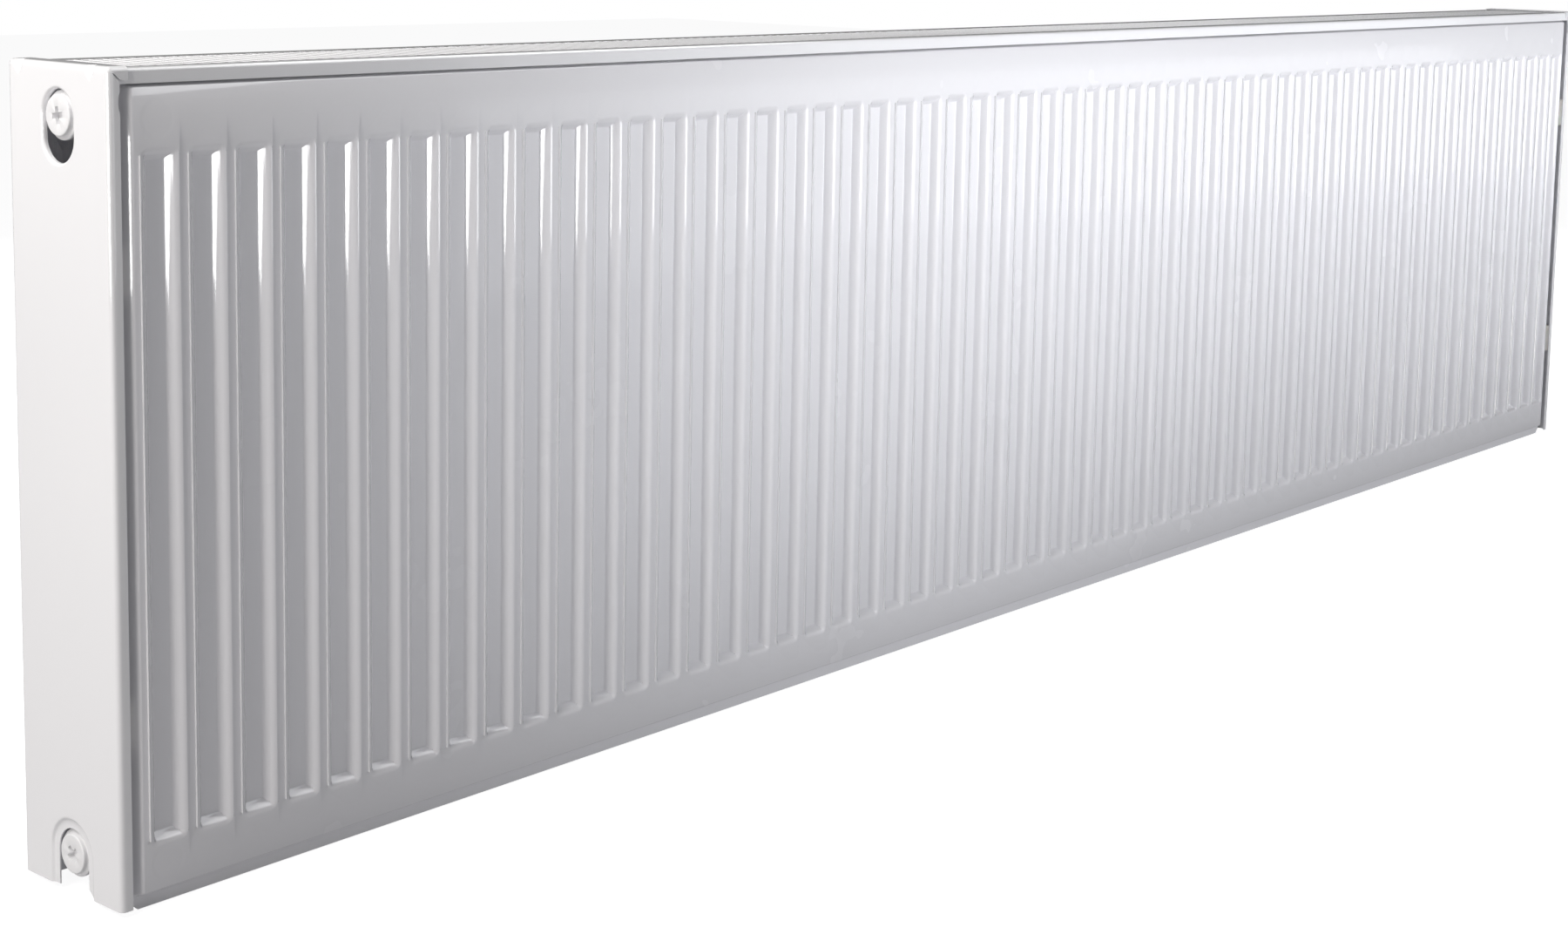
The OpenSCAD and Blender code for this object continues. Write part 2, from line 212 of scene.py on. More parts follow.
def thickened(obj, thickness, offset=-1.0):
    """Gives an open sheet its thickness, inwards from its outer side."""
    wall = obj.modifiers.new("wall", "SOLIDIFY")
    wall.thickness = thickness
    wall.offset = offset
    wall.use_even_offset = True
    return baked(obj)


def bevelled(obj, width, segments=3, degrees=35):
    edge = obj.modifiers.new("edges", "BEVEL")
    edge.width = width
    edge.segments = segments
    edge.limit_method = "ANGLE"
    edge.angle_limit = math.radians(degrees)
    return baked(obj)


def joined(name, objs):
    """Joins pieces into the first one and names it."""
    bm = bmesh.new()
    for obj in objs:
        bm.from_mesh(obj.data)
    first = objs[0]
    bm.to_mesh(first.data)
    bm.free()
    for obj in objs[1:]:
        discard(obj)
    first.name = name
    first.data.name = name
    return first


def mirrored(obj, name, axis, plane):
    """A copy of a piece on the other side of a plane, with its faces outwards."""
    mesh = obj.data.copy()
    flip = Matrix.Diagonal([-1.0 if i == axis else 1.0 for i in range(3)]).to_4x4()
    shift = Vector([2 * plane if i == axis else 0.0 for i in range(3)])
    mesh.transform(Matrix.Translation(shift) @ flip)
    mesh.flip_normals()
    mesh.name = name
    copy = bpy.data.objects.new(name, mesh)
    bpy.context.scene.collection.objects.link(copy)
    return copy


def turned(name, profile, centre, toward, segments, material, close=True):
    """A closed ring shape spun about an X axis; profile holds (radius, depth)."""
    verts = []
    for k in range(segments):
        angle = 2 * math.pi * k / segments
        for radius, depth in profile:
            verts.append((
                centre.x + toward * depth,
                centre.y + radius * math.cos(angle),
                centre.z + radius * math.sin(angle),
            ))
    return piece(name, verts, spun_faces(len(profile), segments, close), material)


def rounded_path(points, radii, steps=4):
    """A path with an arc in place of each inner corner."""
    path = [Vector(points[0])]
    for i in range(1, len(points) - 1):
        corner = Vector(points[i])
        back = (Vector(points[i - 1]) - corner).normalized()
        ahead = (Vector(points[i + 1]) - corner).normalized()
        radius = radii[i - 1] if isinstance(radii, (list, tuple)) else radii
        half = back.angle(ahead) / 2
        if radius <= 0 or abs(half - math.pi / 2) < 1e-4:
            path.append(corner)
            continue
        middle = corner + (back + ahead).normalized() * radius / math.sin(half)
        start = corner + back * radius / math.tan(half) - middle
        end = corner + ahead * radius / math.tan(half) - middle
        for s in range(steps + 1):
            t = s / steps
            swing = start.angle(end)
            blend = (math.sin((1 - t) * swing) * start + math.sin(t * swing) * end) / math.sin(swing)
            path.append(middle + blend)
    path.append(Vector(points[-1]))
    return path


def finished(obj, body, slot, *nodes):
    """Puts a piece on its body in the place of its CAD nodes."""
    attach(obj, body)
    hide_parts(*nodes)
    return obj


# ---- Node graphs, for materials and for geometry ----

class Graph:
    """Adds nodes to a tree and links them as they are added."""

    def __init__(self, tree):
        self.tree = tree

    def add(self, kind, inputs=None, **settings):
        node = self.tree.nodes.new(kind)
        for name, value in settings.items():
            setattr(node, name, value)
        for key, value in (inputs or {}).items():
            socket = node.inputs[key]
            if isinstance(value, bpy.types.NodeSocket):
                self.tree.links.new(value, socket)
            else:
                socket.default_value = value
        return node

    def math(self, operation, *values, clamp=False):
        node = self.add("ShaderNodeMath", dict(enumerate(values)), operation=operation, use_clamp=clamp)
        return node.outputs[0]

    def step(self, value, run):
        """Rises smoothly from 0 to 1 as value goes from 0 to run."""
        inputs = {"Value": value, "From Max": run}
        node = self.add("ShaderNodeMapRange", inputs, interpolation_type="SMOOTHSTEP")
        return node.outputs["Result"]

    def bent(self, value, run):
        """The integral of a slope that rises from 0 to 1 as value goes from 0 to run."""
        near = self.math("POWER", self.math("MAXIMUM", value, 0.0), 2.0)
        past = self.math("POWER", self.math("MAXIMUM", self.math("SUBTRACT", value, run), 0.0), 2.0)
        return self.math("DIVIDE", self.math("SUBTRACT", near, past), self.math("MULTIPLY", run, 2.0))

    def pressing(self, value, run, first, last):
        """Rises from 0 to 1 over run as a straight wall between two bends."""
        inside = self.math("MINIMUM", value, run)
        rest = self.math("ADD", self.math("SUBTRACT", inside, run), last)
        height = self.math("SUBTRACT", self.bent(inside, first), self.bent(rest, last))
        full = self.math("SUBTRACT", run, self.math("MULTIPLY", self.math("ADD", first, last), 0.5))
        return self.math("DIVIDE", height, full)

    def xyz(self, vector):
        return self.add("ShaderNodeSeparateXYZ", {0: vector}).outputs

    def noise(self, vector, scale, detail=2.0, roughness=0.5):
        inputs = {"Vector": vector, "Scale": scale, "Detail": detail, "Roughness": roughness}
        return self.add("ShaderNodeTexNoise", inputs).outputs["Fac"]

    def bump(self, height, distance, normal=None):
        inputs = {"Height": height, "Distance": distance, "Strength": 1.0}
        if normal:
            inputs["Normal"] = normal
        return self.add("ShaderNodeBump", inputs).outputs["Normal"]

    def spread(self, value, low, high):
        """Maps a noise value to the range from low to high."""
        inputs = {"Value": value, "From Min": 0.2, "From Max": 0.8, "To Min": low, "To Max": high}
        return self.add("ShaderNodeMapRange", inputs).outputs["Result"]

    def mix(self, factor, first, second):
        node = self.add("ShaderNodeMix", {"Factor": factor}, data_type="RGBA")
        colours = [s for s in node.inputs if s.type == "RGBA"]
        colours[0].default_value = (*first, 1.0)
        colours[1].default_value = (*second, 1.0)
        return next(s for s in node.outputs if s.type == "RGBA")


def new_material(name):
    material = bpy.data.materials.new(name)
    material.use_nodes = True
    graph = Graph(material.node_tree)
    shader = material.node_tree.nodes["Principled BSDF"]
    place = graph.add("ShaderNodeTexCoord").outputs["Object"]
    return material, graph, shader, place


def surface(name, tone, light, shade, haze, rough, grain, height):
    """A finish whose colour, gloss and grain each follow their own noise."""
    material, graph, shader, place = new_material(name)
    colour = graph.mix(graph.spread(graph.noise(place, *tone), 0.0, 1.0), light, shade)
    graph.tree.links.new(colour, shader.inputs["Base Color"])
    gloss = graph.spread(graph.noise(place, *haze), *rough)
    graph.tree.links.new(gloss, shader.inputs["Roughness"])
    normal = graph.bump(graph.noise(place, *grain), height)
    graph.tree.links.new(normal, shader.inputs["Normal"])
    return material, graph, shader, place, normal


def enamel(name, light, shade, gloss, peel, marks=False):
    """Stoved white paint with a fine orange peel under a clear, glossy coat."""
    rough = (gloss - 0.004, gloss + 0.006)
    made = surface(name, (3.5, 1.0), light, shade, (14.0, 3.0), rough, (420.0, 2.0), peel)
    material, graph, shader, place, normal = made
    if marks:
        marked = graph.bump(tee_marks(graph, place), MARK_DEPTH, normal)
        graph.tree.links.new(marked, shader.inputs["Normal"])
    shader.inputs["Specular IOR Level"].default_value = 0.2
    shader.inputs["Coat Weight"].default_value = 1.0
    shader.inputs["Coat Roughness"].default_value = 0.05
    return material


MARK_RADIUS = 0.0095
MARK_EDGE = 0.003
MARK_DEPTH = 0.00012


def tee_marks(graph, place):
    """A faint round dish in the sheet over each welded tee."""
    x, _, z = graph.xyz(place)
    across = graph.math("SUBTRACT", graph.math("ABSOLUTE", x), HALF_LENGTH - TEE_INSET)
    middle = graph.math("SUBTRACT", z, PANEL_HEIGHT / 2)
    up = graph.math("SUBTRACT", graph.math("ABSOLUTE", middle), PANEL_HEIGHT / 2 - TAPPING_INSET)
    squares = [graph.math("MULTIPLY", side, side) for side in (across, up)]
    away = graph.math("SQRT", graph.math("ADD", *squares))
    return graph.step(graph.math("SUBTRACT", away, MARK_RADIUS), MARK_EDGE)


def plain_paint(name, light, shade, gloss, grain):
    """Thin paint on welded steel, duller and grainier than the outer sheets."""
    rough = (gloss - 0.06, gloss + 0.08)
    return surface(name, (22.0, 6.0, 0.65), light, shade, (60.0, 4.0), rough, (650.0, 4.0), grain)[0]


def moulded(name, light, shade, gloss, glow):
    """Moulded plastic with a fine spark-eroded grain."""
    rough = (gloss - 0.04, gloss + 0.05)
    made = surface(name, (90.0, 3.0), light, shade, (260.0, 3.0), rough, (1800.0, 3.0), 0.00002)
    made[2].inputs["Subsurface Weight"].default_value = glow
    made[2].inputs["Subsurface Scale"].default_value = 0.002
    return made[0]


def rubber(name):
    """Black-grey sealing rubber with a dusty bloom."""
    dark, dusty = (0.035, 0.036, 0.038), (0.085, 0.086, 0.09)
    rough = (0.62, 0.8)
    return surface(name, (300.0, 5.0, 0.6), dark, dusty, (500.0, 3.0), rough, (1400.0, 4.0), 0.00004)[0]


PANEL_LIGHT = (0.818, 0.815, 0.848)
PANEL_SHADE = (0.814, 0.811, 0.844)
PANEL_PAINT = enamel("panel_enamel", PANEL_LIGHT, PANEL_SHADE, 0.27, 0.000012, marks=True)
COVER_PAINT = enamel("cover_enamel", (0.84, 0.84, 0.86), (0.81, 0.81, 0.835), 0.33, 0.000016)
FIN_PAINT = plain_paint("convector_enamel", (0.78, 0.78, 0.80), (0.70, 0.70, 0.73), 0.42, 0.00003)
TEE_PAINT = plain_paint("tee_enamel", (0.76, 0.76, 0.78), (0.64, 0.64, 0.67), 0.45, 0.00006)
NYLON = moulded("clip_nylon", (0.80, 0.79, 0.75), (0.74, 0.73, 0.68), 0.45, 0.15)
PLUG_PLASTIC = moulded("plug_plastic", (0.80, 0.80, 0.815), (0.78, 0.78, 0.80), 0.34, 0.0)
SEAL_RUBBER = rubber("seal_rubber")


# ---- Camera ----

def camera(place, azimuth, pitch, roll, lens, shift):
    """A camera that looks azimuth degrees from +Y towards +X, and pitch down."""
    az, down, tilt = map(math.radians, (azimuth, pitch, roll))
    ahead = Vector((math.sin(az) * math.cos(down), math.cos(az) * math.cos(down), -math.sin(down)))
    level = Vector((math.cos(az), -math.sin(az), 0.0))
    upright = level.cross(ahead)
    right = level * math.cos(tilt) + upright * math.sin(tilt)
    up = upright * math.cos(tilt) - level * math.sin(tilt)
    data = bpy.data.cameras.new("camera")
    data.lens = lens
    data.shift_y = shift
    obj = bpy.data.objects.new("camera", data)
    obj.matrix_world = Matrix.Translation(place) @ Matrix((right, up, -ahead)).transposed().to_4x4()
    bpy.context.scene.collection.objects.link(obj)
    bpy.context.scene.camera = obj


camera(Vector((-1.800, -1.249, 0.592)), azimuth=49.29, pitch=7.48, roll=1.05, lens=56.4, shift=-0.14)


# ---- Pressed outer sheets ----

def ramp(start, run, steps):
    return [start + run * i / steps for i in range(steps + 1)]


def blank_rows():
    """The heights where a blank is divided, from the bottom seam to the top seam."""
    low = [0.0, CORNER_CUT] + ramp(BOTTOM_SEAM, SEAM_BEND, 5)
    high = ramp(PANEL_HEIGHT - TOP_SEAM - SEAM_BEND, SEAM_BEND, 5) + [PANEL_HEIGHT]
    return low, [GROOVE_LOW, GROOVE_HIGH], high


def grid_blank(columns, rows):
    verts = [(x, 0.0, z) for z in rows for x in columns]
    return verts, grid_faces(len(columns), len(rows))


def end_blank():
    """The flat blank at each end, divided where the end seam bends; both ways round."""
    margin = FRONT_HIGH.x - GROOVE_COUNT * GROOVE_PITCH / 2
    scale = GROOVE_PITCH / margin
    bends = [margin - SIDE_SEAM - SIDE_BEND * k / 8 for k in range(9)]
    marks = [GROOVE_PITCH / 2 - scale * b for b in bends + [0.0, margin]]
    columns = sorted(set(marks + [-m for m in marks]))
    low, middle, high = blank_rows()
    return grid_blank(columns, low + middle + high)


def groove_ring(inset):
    """The rounded outline of a groove, moved inwards, as (x, z) points."""
    radius = max(GROOVE_CORNER - inset, 0.00002)
    half = GROOVE_FLOOR + GROOVE_WALL - inset - radius
    low, high = GROOVE_LOW + inset + radius, GROOVE_HIGH - inset - radius
    corners = [(half, high, 0), (-half, high, 90), (-half, low, 180), (half, low, 270)]
    ring = []
    for x, z, start in corners:
        for k in range(RING_STEPS + 1):
            angle = math.radians(start + 90 * k / RING_STEPS)
            ring.append((x + radius * math.cos(angle), z + radius * math.sin(angle)))
    return ring


def groove_blank():
    """The flat blank for one groove, divided along lines of equal depth.

    The ring faces run the other way round from the land's and the floor's, so
    the sheet's thickness goes outwards there. Turning them would mend that.
    """
    half = GROOVE_PITCH / 2
    low, middle, high = blank_rows()
    verts, faces = [], []
    for rows in (low, high):
        base = len(verts)
        extra, quads = grid_blank([-half, half], rows)
        verts += extra
        faces += [tuple(base + i for i in quad) for quad in quads]
    guard = 0.0004
    insets = [-guard] + ramp(0.0, EDGE_BEND, 4)
    insets += ramp(GROOVE_WALL - FLOOR_BEND, FLOOR_BEND, 4) + [GROOVE_WALL + guard]
    base = len(verts)
    count = 4 * (RING_STEPS + 1)
    for inset in insets:
        verts += [(x, 0.0, z) for x, z in groove_ring(inset)]
    for k in range(len(insets) - 1):
        for i in range(count):
            j = (i + 1) % count
            a = base + k * count
            faces.append((a + i, a + count + i, a + count + j, a + j))
    last = base + (len(insets) - 1) * count
    faces.append(tuple(last + i for i in range(count)))

    # The land round the groove: a strip at each side, and one piece below and above
    corner = len(verts)
    verts += [(x, 0.0, z) for z in (low[-1], middle[0], middle[1], high[0]) for x in (-half, half)]
    n = RING_STEPS + 1
    first = [base + i for i in range(count)]
    right_top, left_top, left_low, right_low = (first[k * n:(k + 1) * n] for k in range(4))
    faces.append((corner + 2, left_low[0], left_top[-1], corner + 4))
    faces.append((right_low[-1], corner + 3, corner + 5, right_top[0]))
    faces.append((corner, corner + 1, corner + 3, *reversed(right_low), *reversed(left_low), corner + 2))
    faces.append((corner + 6, corner + 4, *reversed(left_top), *reversed(right_top), corner + 5, corner + 7))
    return verts, faces


def size_inputs(tree, sizes):
    """Adds one named number input per size and returns their identifiers."""
    tree.interface.new_socket("Geometry", in_out="INPUT", socket_type="NodeSocketGeometry")
    tree.interface.new_socket("Geometry", in_out="OUTPUT", socket_type="NodeSocketGeometry")
    keys = {}
    for name, value in sizes.items():
        kind = "NodeSocketInt" if isinstance(value, int) else "NodeSocketFloat"
        if isinstance(value, bpy.types.Object):
            kind = "NodeSocketObject"
        if isinstance(value, bpy.types.Material):
            kind = "NodeSocketMaterial"
        keys[name] = tree.interface.new_socket(name, in_out="INPUT", socket_type=kind).identifier
    return keys


def run_tree(obj, tree, keys, sizes):
    """Runs a tree on a piece with its inputs set, and keeps the plain mesh."""
    modifier = obj.modifiers.new(tree.name, "NODES")
    modifier.node_group = tree
    for name, value in sizes.items():
        modifier[keys[name]] = value
    return baked(obj)


def row_of_cells(g, given, count, end_cell, ends):
    """Lays cells along X, with a number of end cells on both sides, as one mesh."""
    pitch = given["Pitch"]
    points = g.math("ADD", count, g.math("MULTIPLY", ends, 2.0))
    start = g.math("MULTIPLY", g.math("SUBTRACT", points, 1.0), g.math("MULTIPLY", pitch, -0.5))
    first = g.add("ShaderNodeCombineXYZ", {"X": start}).outputs[0]
    stride = g.add("ShaderNodeCombineXYZ", {"X": pitch}).outputs[0]
    row = g.add("GeometryNodeMeshLine", {"Count": points, "Start Location": first, "Offset": stride})
    index = g.add("GeometryNodeInputIndex").outputs[0]
    last = g.math("SUBTRACT", points, ends)
    at_start = g.math("LESS_THAN", index, ends)
    at_end = g.math("GREATER_THAN", index, g.math("SUBTRACT", last, 0.5))
    plain = g.math("ADD", at_start, at_end)
    worked = g.math("SUBTRACT", 1.0, plain)
    end_piece = g.add("GeometryNodeObjectInfo", {"Object": end_cell}).outputs["Geometry"]
    both = g.add("GeometryNodeJoinGeometry")
    for chosen, shape in ((plain, end_piece), (worked, given["Geometry"])):
        inputs = {"Points": row.outputs[0], "Selection": chosen, "Instance": shape}
        cells = g.add("GeometryNodeInstanceOnPoints", inputs).outputs[0]
        g.tree.links.new(cells, both.inputs[0])
    return g.add("GeometryNodeRealizeInstances", {"Geometry": both.outputs[0]}).outputs[0]


def painted_output(g, shape, paint):
    """Welds the cells, paints the mesh and hands it out of the tree."""
    welded = g.add("GeometryNodeMergeByDistance", {"Geometry": shape, "Distance": WELD_DISTANCE}).outputs[0]
    finish = {"Geometry": welded, "Material": paint}
    painted = g.add("GeometryNodeSetMaterial", finish).outputs[0]
    g.add("NodeGroupOutput", {0: painted})


def pressed_panel_tree(sizes):
    """Repeats a groove blank along the sheet and presses it to shape."""
    tree = bpy.data.node_groups.new("pressed_panel", "GeometryNodeTree")
    keys = size_inputs(tree, sizes)
    g = Graph(tree)
    given = g.add("NodeGroupInput").outputs
    pitch = given["Pitch"]
    count = given["Grooves"]

    # One more blank at each end is squeezed into the plain margin there
    flat = row_of_cells(g, given, count, given["End blank"], 1.0)
    x, _, z = g.xyz(g.add("GeometryNodeInputPosition").outputs[0])
    side = g.math("SIGN", x)
    reach = g.math("ABSOLUTE", x)
    grooved = g.math("MULTIPLY", g.math("MULTIPLY", count, pitch), 0.5)
    excess = g.math("MAXIMUM", g.math("SUBTRACT", reach, grooved), 0.0)
    margin = g.math("SUBTRACT", given["Half length"], grooved)
    squeezed = g.math("MULTIPLY", excess, g.math("DIVIDE", margin, pitch))
    out = g.math("ADD", g.math("MINIMUM", reach, grooved), squeezed)

    # The face stands above the seams on three bends, multiplied at the corners
    bend = given["Seam bend"]
    top = given["Height"]
    end_seam = g.math("SUBTRACT", given["Half length"], given["Side seam"])
    rise_end = g.step(g.math("SUBTRACT", end_seam, out), given["Side bend"])
    rise_low = g.step(g.math("SUBTRACT", z, given["Bottom seam"]), bend)
    rise_top = g.step(g.math("SUBTRACT", g.math("SUBTRACT", top, given["Top seam"]), z), bend)
    block = g.math("MULTIPLY", rise_end, g.math("MULTIPLY", rise_low, rise_top))

    # Distance inside the rounded outline of the nearest groove
    nearest = g.math("MULTIPLY", g.math("ROUND", g.math("DIVIDE", x, pitch)), pitch)
    across = g.math("ABSOLUTE", g.math("SUBTRACT", x, nearest))
    middle = g.math("MULTIPLY", g.math("ADD", given["Groove low"], given["Groove high"]), 0.5)
    half_run = g.math("SUBTRACT", given["Groove high"], middle)
    along = g.math("ABSOLUTE", g.math("SUBTRACT", z, middle))
    corner = given["Groove corner"]
    half_w = g.math("ADD", given["Floor half"], given["Groove wall"])
    dx = g.math("SUBTRACT", across, g.math("SUBTRACT", half_w, corner))
    dz = g.math("SUBTRACT", along, g.math("SUBTRACT", half_run, corner))
    px = g.math("MAXIMUM", dx, 0.0)
    pz = g.math("MAXIMUM", dz, 0.0)
    outside = g.math("SQRT", g.math("ADD", g.math("MULTIPLY", px, px), g.math("MULTIPLY", pz, pz)))
    inside = g.math("MINIMUM", g.math("MAXIMUM", dx, dz), 0.0)
    depth_in = g.math("SUBTRACT", corner, g.math("ADD", outside, inside))
    groove = g.pressing(depth_in, given["Groove wall"], given["Edge bend"], given["Floor bend"])
    groove = g.math("MULTIPLY", groove, g.math("LESS_THAN", reach, grooved))

    height = g.math("MULTIPLY", g.math("SUBTRACT", block, groove), given["Rise"])
    level = g.math("SUBTRACT", given["Base"], height)

    # The seam's corners are cut across
    edge = g.math("MINIMUM", z, g.math("SUBTRACT", top, z))
    cut = g.math("MAXIMUM", g.math("SUBTRACT", given["Corner cut"], edge), 0.0)
    limit = g.math("SUBTRACT", given["Half length"], cut)
    place_x = g.math("MULTIPLY", side, g.math("MINIMUM", out, limit))
    place = g.add("ShaderNodeCombineXYZ", {"X": place_x, "Y": level, "Z": z}).outputs[0]
    shaped = g.add("GeometryNodeSetPosition", {"Geometry": flat, "Position": place}).outputs[0]
    painted_output(g, shaped, given["Paint"])
    return tree, keys


def pressed_panels():
    ends = piece("end_blank", *end_blank(), PANEL_PAINT)
    sizes = {
        "Pitch": GROOVE_PITCH,
        "Grooves": GROOVE_COUNT,
        "Half length": FRONT_HIGH.x,
        "Height": PANEL_HEIGHT,
        "Base": FRONT_HIGH.y - SHEET,
        "Rise": PANEL_RISE,
        "Seam bend": SEAM_BEND,
        "Bottom seam": BOTTOM_SEAM,
        "Top seam": TOP_SEAM,
        "Side seam": SIDE_SEAM,
        "Side bend": SIDE_BEND,
        "Corner cut": CORNER_CUT,
        "Floor half": GROOVE_FLOOR,
        "Groove wall": GROOVE_WALL,
        "Edge bend": EDGE_BEND,
        "Floor bend": FLOOR_BEND,
        "Groove corner": GROOVE_CORNER,
        "Groove low": GROOVE_LOW,
        "Groove high": GROOVE_HIGH,
        "End blank": ends,
        "Paint": PANEL_PAINT,
    }
    front = piece("front_sheet", *groove_blank(), PANEL_PAINT)
    cleaned(front, outward=False)
    tree, keys = pressed_panel_tree(sizes)
    run_tree(front, tree, keys, sizes)
    discard(ends)
    thickened(front, SHEET)
    smoothed(front, 50)
    rear = mirrored(front, "rear_sheet", 1, MIDDLE_Y)
    finished(front, "radiator", "white_enamel", "front_panel_outer_sheet")
    finished(rear, "radiator", "white_enamel", "rear_panel_outer_sheet")


# ---- Rows of repeated cells: the top grille and the convectors ----

def cell_row_tree(sizes):
    """Repeats a cell along X, with plain cells at both ends."""
    tree = bpy.data.node_groups.new("cell_row", "GeometryNodeTree")
    keys = size_inputs(tree, sizes)
    g = Graph(tree)
    given = g.add("NodeGroupInput").outputs
    whole = row_of_cells(g, given, given["Count"], given["End cell"], given["End cells"])
    painted_output(g, whole, given["Paint"])
    return tree, keys


def grille_profile():
    """Front lip, top and rear lip as a line of (y, z), with both bends rounded."""
    front, rear = GRILLE_LOW.y, GRILLE_HIGH.y
    low, top = GRILLE_LOW.z, GRILLE_HIGH.z
    corners = [(front, low), (front, top), (rear, top), (rear, low)]
    return rounded_path(corners, GRILLE_BEND, 4)


def grille_cell(slotted):
    """One pitch of the grille; the slot's edge is drawn down below the sheet."""
    half = SLOT_PITCH / 2
    edge = SLOT_HALF - SLOT_CORNER
    columns = [-half, -edge, edge, half]
    guard = 0.0018
    line = grille_profile()
    split = len(line) // 2
    front = [tuple(p) for p in line[:split]] + [(SLOT_FRONT - guard, GRILLE_HIGH.z)]
    rear = [(SLOT_REAR + guard, GRILLE_HIGH.z)] + [tuple(p) for p in line[split:]]
    verts, faces = [], []

    def strip(rows):
        base = len(verts)
        verts.extend((x, y, z) for y, z in rows for x in columns)
        faces.extend(grid_faces(len(columns), len(rows), base))

    strip(front)
    strip(rear)
    if not slotted:
        strip([front[-1], rear[0]])
        return verts, faces

    def ring(grow, drop, corner):
        """Twelve points round the slot, three at each corner."""
        points = []
        for sx, sy in ((-1, -1), (1, -1), (1, 1), (-1, 1)):
            x = sx * (SLOT_HALF + grow)
            y = SLOT_FRONT - grow if sy < 0 else SLOT_REAR + grow
            cut = corner * 0.3
            trio = [
                (x, y - sy * corner), (x - sx * cut, y - sy * cut), (x - sx * corner, y),
            ]
            points += trio if sx * sy > 0 else trio[::-1]
        return [(px, py, GRILLE_HIGH.z - drop) for px, py in points]

    outer = []
    for sx, sy in ((-1, -1), (1, -1), (1, 1), (-1, 1)):
        y = SLOT_FRONT if sy < 0 else SLOT_REAR
        trio = [
            (sx * half, y - sy * SLOT_CORNER), (sx * half, y + sy * guard), (sx * edge, y + sy * guard),
        ]
        outer += trio if sx * sy > 0 else trio[::-1]
    rings = [[(x, y, GRILLE_HIGH.z) for x, y in outer]]
    rings.append(ring(0.0006, 0.0, SLOT_CORNER + 0.0006))
    rings.append(ring(0.0002, 0.0003, SLOT_CORNER + 0.0002))
    rings.append(ring(0.0, 0.0009, SLOT_CORNER))
    rings.append(ring(0.0, SLOT_DRAW, SLOT_CORNER))
    base = len(verts)
    for points in rings:
        verts.extend(points)
    for k in range(len(rings) - 1):
        for i in range(12):
            j = (i + 1) % 12
            a = base + 12 * k
            b = a + 12
            faces.append((a + i, a + j, b + j, b + i))
    return verts, faces


def top_grille():
    cell = piece("grille_sheet", *grille_cell(True), COVER_PAINT)
    plain = piece("plain_cell", *grille_cell(False), COVER_PAINT)
    for obj in (cell, plain):
        cleaned(obj)
        face_up(obj)
    ends = round((GRILLE_HIGH.x - SLOT_COUNT * SLOT_PITCH / 2) / SLOT_PITCH)
    sizes = {
        "Pitch": SLOT_PITCH,
        "Count": SLOT_COUNT,
        "End cells": ends,
        "End cell": plain,
        "Paint": COVER_PAINT,
    }
    tree, keys = cell_row_tree(sizes)
    run_tree(cell, tree, keys, sizes)
    discard(plain)
    thickened(cell, GRILLE_SHEET)
    smoothed(cell, 50)
    finished(cell, "radiator", "cover_enamel", "top_grille")
    return tree, keys


def face_up(obj):
    """Turns an open sheet so that its highest flat faces look up."""
    total = sum(p.normal.z * p.area for p in obj.data.polygons)
    if total < 0:
        obj.data.flip_normals()


def convectors(tree, keys):
    """Corrugated sheets welded on the inner faces of the panels."""
    low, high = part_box("front_convector")
    foot = low.y + FIN_SHEET / 2
    crest = high.y - FIN_SHEET / 2
    half = GROOVE_PITCH / 2
    corners = [
        (-half, crest), (-FIN_FOOT, crest), (-FIN_FOOT, foot),
        (FIN_FOOT, foot), (FIN_FOOT, crest), (half, crest),
    ]
    line = rounded_path(corners, FIN_BEND, 3)
    rows = [low.z, low.z + FIN_EDGE, (low.z + high.z) / 2, high.z - FIN_EDGE, high.z]
    verts = [(x, y, z) for z in rows for x, y in line]
    front = piece("front_fins", verts, grid_faces(len(line), len(rows)), FIN_PAINT)
    sizes = {"Pitch": GROOVE_PITCH, "Count": FIN_COUNT, "End cells": 0, "Paint": FIN_PAINT}
    run_tree(front, tree, keys, sizes)
    thickened(front, FIN_SHEET, 0.0)
    smoothed(front, 40)
    rear = mirrored(front, "rear_fins", 1, MIDDLE_Y)
    finished(front, "radiator", "convector_enamel", "front_convector")
    finished(rear, "radiator", "convector_enamel", "rear_convector")


# ---- Side covers ----

GUSSETS = (MIDDLE_Y - 0.0335, MIDDLE_Y + 0.0395)
GUSSET_HALF = 0.004
GUSSET_DROP = 0.008
GUSSET_IN = 0.005
GUSSET_DENT = 0.0007
UPPER_Z = PANEL_HEIGHT - TAPPING_INSET
LOWER_Z = TAPPING_INSET
BEND_STEPS = [0.0, 0.42 * COVER_BEND, 0.73 * COVER_BEND, COVER_BEND]
SLOT_RINGS = [
    (0.0026, 0.0), (0.00175, 0.0), (0.0013, 0.00012), (0.0008, 0.00045),
    (0.00035, 0.00095), (0.00008, 0.0015), (0.0, 0.002), (0.0, 0.0035),
]
NOTCH_RINGS = [
    (0.0078, 0.0), (0.007, 0.0), (0.0065, 0.00018), (0.006, 0.0006),
    (0.0055, 0.0011), (0.005, 0.00146), (0.0043, 0.0016), (0.0, 0.0016),
]
FOOT_CHAMFER = 0.005


def rounded_cover(u, y, z):
    """Moves a point of the sharp box form onto the rounded form; u runs inwards."""
    bend = COVER_BEND
    core = Vector((
        max(u, bend),
        min(max(y, COVER_LOW.y + bend), COVER_HIGH.y - bend),
        min(z, COVER_HIGH.z - bend),
    ))
    away = Vector((u, y, z)) - core
    return core + away.normalized() * bend


